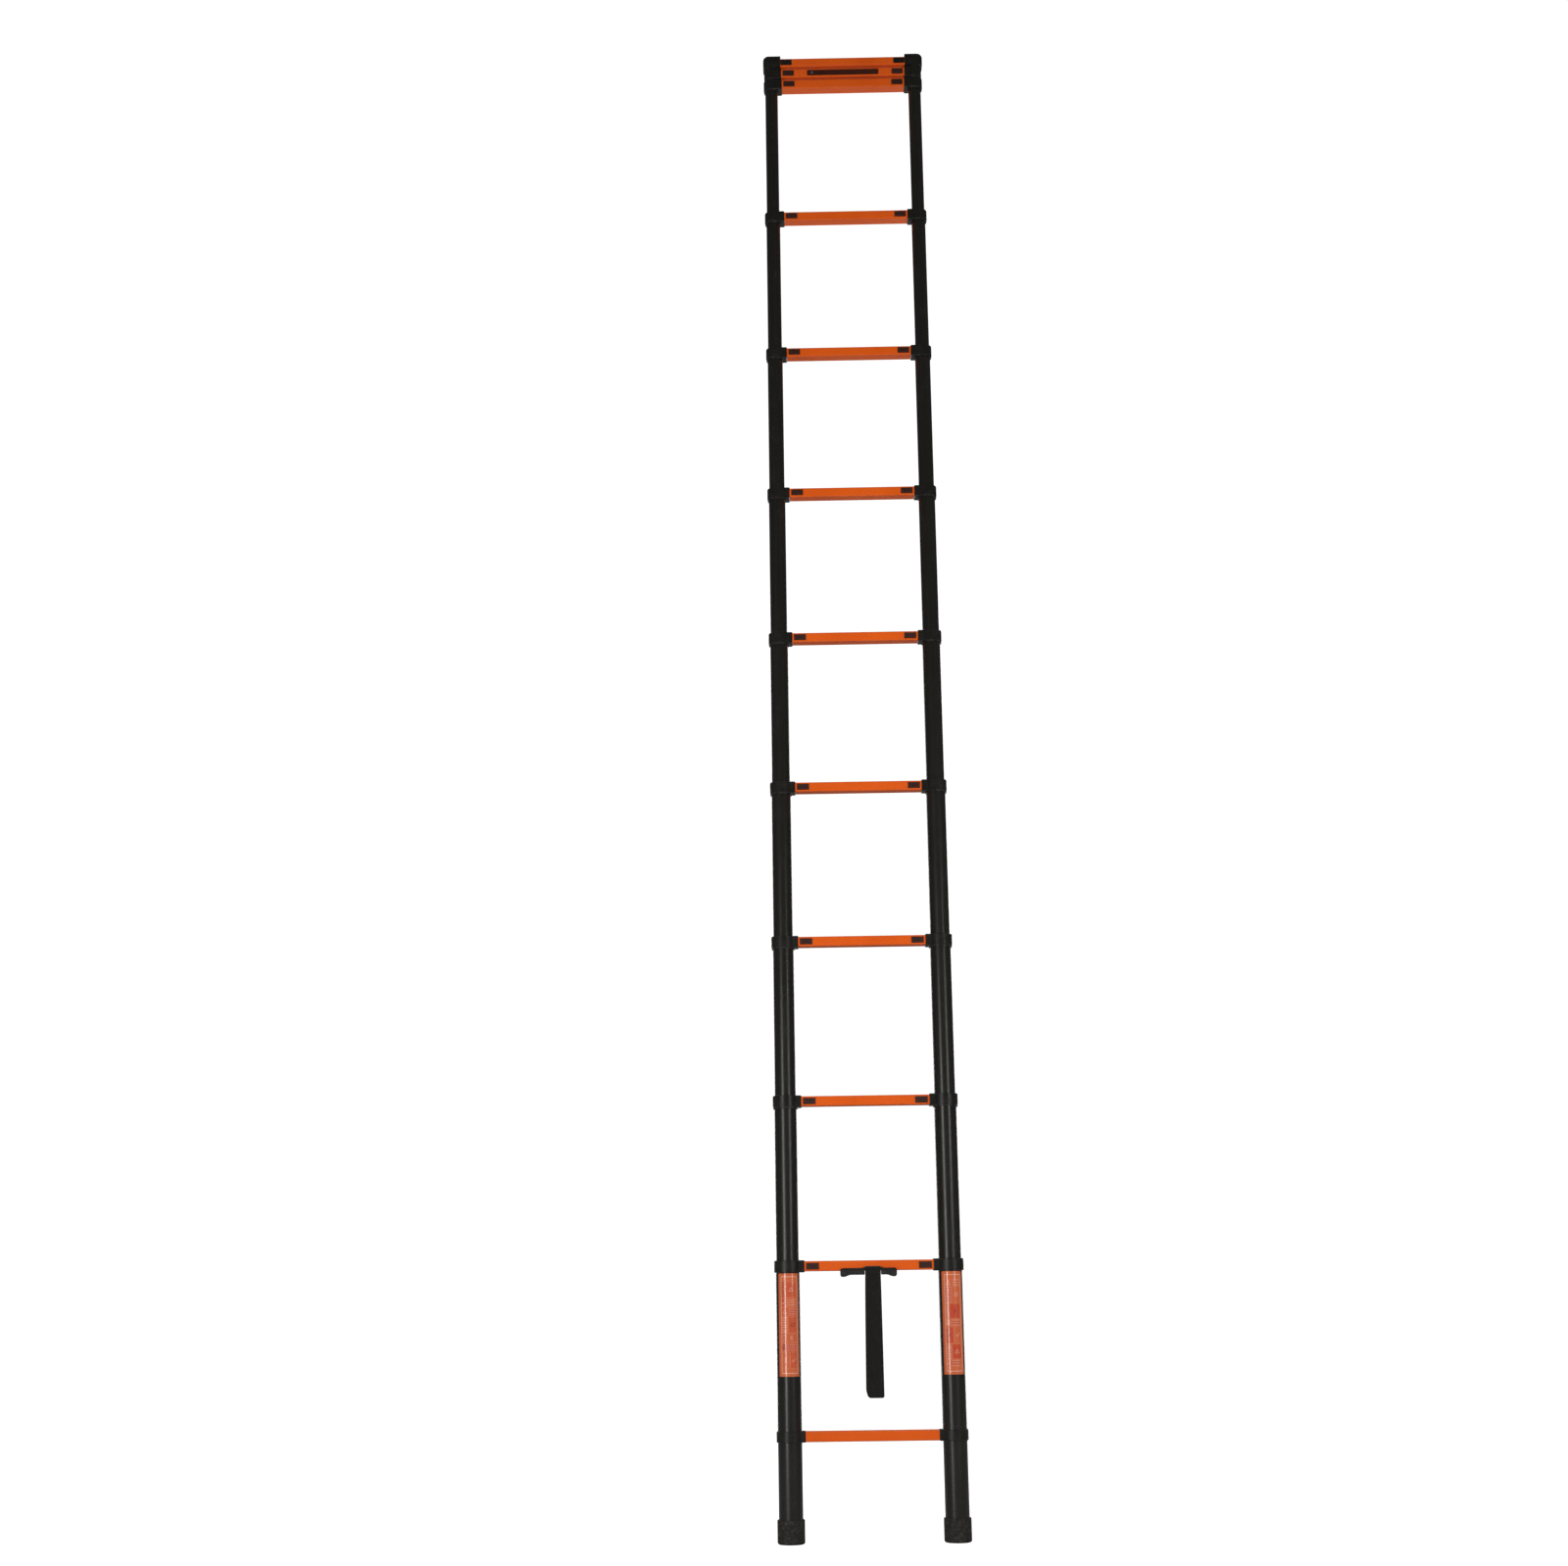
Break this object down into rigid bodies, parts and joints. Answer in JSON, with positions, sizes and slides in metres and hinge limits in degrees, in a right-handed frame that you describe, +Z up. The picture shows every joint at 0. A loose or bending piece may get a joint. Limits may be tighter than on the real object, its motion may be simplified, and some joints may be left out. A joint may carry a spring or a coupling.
{
  "type": "telescopic ladder",
  "caption": "Straight telescopic ladder with nested round rails, box rungs, thumb latches and a carrying strap, shown drawn out with its top rungs closed up.",
  "frame": {"origin": "on the standing surface, midway between the two rails and midway through the ladder's depth", "axes": "+Z up along the rails, +X towards the right rail seen from the front, -Y towards the front, where the latches are"},
  "size_m": [0.4636, 0.0666, 3.932],
  "materials": {
    "black_tube": "satin anodised black",
    "orange_rung": "satin powder coat",
    "black_moulding": "fine moulded grain",
    "latch_plastic": "fine moulded grain",
    "foot_rubber": "matt ribbed rubber",
    "strap_webbing": "woven webbing",
    "grip_plastic": "fine moulded grain",
    "insert_plastic": "fine moulded grain",
    "label_film": "glossy printed film"
  },
  "bodies": {
    "section_01": {"tubes_01": "black_tube", "rung_02": "orange_rung", "collars_02": "black_moulding", "rung_01": "orange_rung", "bottom_rung_clamps": "black_moulding", "rubber_feet": "foot_rubber", "strap_grip": "grip_plastic", "rail_labels": "label_film"},
    "section_02": {"tubes_02": "black_tube", "rung_03": "orange_rung", "collars_03": "black_moulding"},
    "section_03": {"tubes_03": "black_tube", "rung_04": "orange_rung", "collars_04": "black_moulding"},
    "section_04": {"tubes_04": "black_tube", "rung_05": "orange_rung", "collars_05": "black_moulding"},
    "section_05": {"tubes_05": "black_tube", "rung_06": "orange_rung", "collars_06": "black_moulding"},
    "section_06": {"tubes_06": "black_tube", "rung_07": "orange_rung", "collars_07": "black_moulding"},
    "section_07": {"tubes_07": "black_tube", "rung_08": "orange_rung", "collars_08": "black_moulding"},
    "section_08": {"tubes_08": "black_tube", "rung_09": "orange_rung", "collars_09": "black_moulding"},
    "section_09": {"tubes_09": "black_tube", "rung_10": "orange_rung", "collars_10": "black_moulding"},
    "section_10": {"tubes_10": "black_tube", "rung_11": "orange_rung", "collars_11": "black_moulding", "handle_insert": "insert_plastic"},
    "section_11": {"tubes_11": "black_tube", "rung_12": "orange_rung", "top_caps": "black_moulding"},
    "latch_left_02": {"latch_left_02": "latch_plastic"},
    "latch_right_02": {"latch_right_02": "latch_plastic"},
    "latch_left_03": {"latch_left_03": "latch_plastic"},
    "latch_right_03": {"latch_right_03": "latch_plastic"},
    "latch_left_04": {"latch_left_04": "latch_plastic"},
    "latch_right_04": {"latch_right_04": "latch_plastic"},
    "latch_left_05": {"latch_left_05": "latch_plastic"},
    "latch_right_05": {"latch_right_05": "latch_plastic"},
    "latch_left_06": {"latch_left_06": "latch_plastic"},
    "latch_right_06": {"latch_right_06": "latch_plastic"},
    "latch_left_07": {"latch_left_07": "latch_plastic"},
    "latch_right_07": {"latch_right_07": "latch_plastic"},
    "latch_left_08": {"latch_left_08": "latch_plastic"},
    "latch_right_08": {"latch_right_08": "latch_plastic"},
    "latch_left_09": {"latch_left_09": "latch_plastic"},
    "latch_right_09": {"latch_right_09": "latch_plastic"},
    "latch_left_10": {"latch_left_10": "latch_plastic"},
    "latch_right_10": {"latch_right_10": "latch_plastic"},
    "latch_left_11": {"latch_left_11": "latch_plastic"},
    "latch_right_11": {"latch_right_11": "latch_plastic"},
    "strap": {"strap": "strap_webbing"}
  },
  "joints": [
    {"name": "section_02_slide", "type": "slide", "parent": "section_01", "child": "section_02", "axis": [0, 0, 1], "range_m": [-0.367, 0]},
    {"name": "section_03_slide", "type": "slide", "parent": "section_02", "child": "section_03", "axis": [0, 0, 1], "range_m": [-0.367, 0]},
    {"name": "section_04_slide", "type": "slide", "parent": "section_03", "child": "section_04", "axis": [0, 0, 1], "range_m": [-0.367, 0]},
    {"name": "section_05_slide", "type": "slide", "parent": "section_04", "child": "section_05", "axis": [0, 0, 1], "range_m": [-0.367, 0]},
    {"name": "section_06_slide", "type": "slide", "parent": "section_05", "child": "section_06", "axis": [0, 0, 1], "range_m": [-0.367, 0]},
    {"name": "section_07_slide", "type": "slide", "parent": "section_06", "child": "section_07", "axis": [0, 0, 1], "range_m": [-0.367, 0]},
    {"name": "section_08_slide", "type": "slide", "parent": "section_07", "child": "section_08", "axis": [0, 0, 1], "range_m": [-0.367, 0]},
    {"name": "section_09_slide", "type": "slide", "parent": "section_08", "child": "section_09", "axis": [0, 0, 1], "range_m": [-0.367, 0]},
    {"name": "section_10_slide", "type": "slide", "parent": "section_09", "child": "section_10", "axis": [0, 0, 1], "range_m": [0, 0.367]},
    {"name": "section_11_slide", "type": "slide", "parent": "section_10", "child": "section_11", "axis": [0, 0, 1], "range_m": [0, 0.367]},
    {"name": "latch_left_02_slide", "type": "slide", "parent": "section_01", "child": "latch_left_02", "axis": [-1, 0, 0], "range_m": [-0.0025, 0.004], "stiffness_N_per_m": 150},
    {"name": "latch_right_02_slide", "type": "slide", "parent": "section_01", "child": "latch_right_02", "axis": [1, 0, 0], "range_m": [-0.0025, 0.004], "stiffness_N_per_m": 150},
    {"name": "latch_left_03_slide", "type": "slide", "parent": "section_02", "child": "latch_left_03", "axis": [-1, 0, 0], "range_m": [-0.0025, 0.004], "stiffness_N_per_m": 150},
    {"name": "latch_right_03_slide", "type": "slide", "parent": "section_02", "child": "latch_right_03", "axis": [1, 0, 0], "range_m": [-0.0025, 0.004], "stiffness_N_per_m": 150},
    {"name": "latch_left_04_slide", "type": "slide", "parent": "section_03", "child": "latch_left_04", "axis": [-1, 0, 0], "range_m": [-0.0025, 0.004], "stiffness_N_per_m": 150},
    {"name": "latch_right_04_slide", "type": "slide", "parent": "section_03", "child": "latch_right_04", "axis": [1, 0, 0], "range_m": [-0.0025, 0.004], "stiffness_N_per_m": 150},
    {"name": "latch_left_05_slide", "type": "slide", "parent": "section_04", "child": "latch_left_05", "axis": [-1, 0, 0], "range_m": [-0.0025, 0.004], "stiffness_N_per_m": 150},
    {"name": "latch_right_05_slide", "type": "slide", "parent": "section_04", "child": "latch_right_05", "axis": [1, 0, 0], "range_m": [-0.0025, 0.004], "stiffness_N_per_m": 150},
    {"name": "latch_left_06_slide", "type": "slide", "parent": "section_05", "child": "latch_left_06", "axis": [-1, 0, 0], "range_m": [-0.0025, 0.004], "stiffness_N_per_m": 150},
    {"name": "latch_right_06_slide", "type": "slide", "parent": "section_05", "child": "latch_right_06", "axis": [1, 0, 0], "range_m": [-0.0025, 0.004], "stiffness_N_per_m": 150},
    {"name": "latch_left_07_slide", "type": "slide", "parent": "section_06", "child": "latch_left_07", "axis": [-1, 0, 0], "range_m": [-0.0025, 0.004], "stiffness_N_per_m": 150},
    {"name": "latch_right_07_slide", "type": "slide", "parent": "section_06", "child": "latch_right_07", "axis": [1, 0, 0], "range_m": [-0.0025, 0.004], "stiffness_N_per_m": 150},
    {"name": "latch_left_08_slide", "type": "slide", "parent": "section_07", "child": "latch_left_08", "axis": [-1, 0, 0], "range_m": [-0.0025, 0.004], "stiffness_N_per_m": 150},
    {"name": "latch_right_08_slide", "type": "slide", "parent": "section_07", "child": "latch_right_08", "axis": [1, 0, 0], "range_m": [-0.0025, 0.004], "stiffness_N_per_m": 150},
    {"name": "latch_left_09_slide", "type": "slide", "parent": "section_08", "child": "latch_left_09", "axis": [-1, 0, 0], "range_m": [-0.0025, 0.004], "stiffness_N_per_m": 150},
    {"name": "latch_right_09_slide", "type": "slide", "parent": "section_08", "child": "latch_right_09", "axis": [1, 0, 0], "range_m": [-0.0025, 0.004], "stiffness_N_per_m": 150},
    {"name": "latch_left_10_slide", "type": "slide", "parent": "section_09", "child": "latch_left_10", "axis": [-1, 0, 0], "range_m": [-0.0025, 0], "stiffness_N_per_m": 150},
    {"name": "latch_right_10_slide", "type": "slide", "parent": "section_09", "child": "latch_right_10", "axis": [1, 0, 0], "range_m": [-0.0025, 0], "stiffness_N_per_m": 150},
    {"name": "latch_left_11_slide", "type": "slide", "parent": "section_10", "child": "latch_left_11", "axis": [-1, 0, 0], "range_m": [-0.0025, 0], "stiffness_N_per_m": 150},
    {"name": "latch_right_11_slide", "type": "slide", "parent": "section_10", "child": "latch_right_11", "axis": [1, 0, 0], "range_m": [-0.0025, 0], "stiffness_N_per_m": 150},
    {"name": "strap_swing", "type": "hinge", "parent": "section_01", "child": "strap", "pos_m": [0.009, -0.0252, 0.6375], "axis": [1, 0, 0], "range_deg": [-90, 15]}
  ]
}
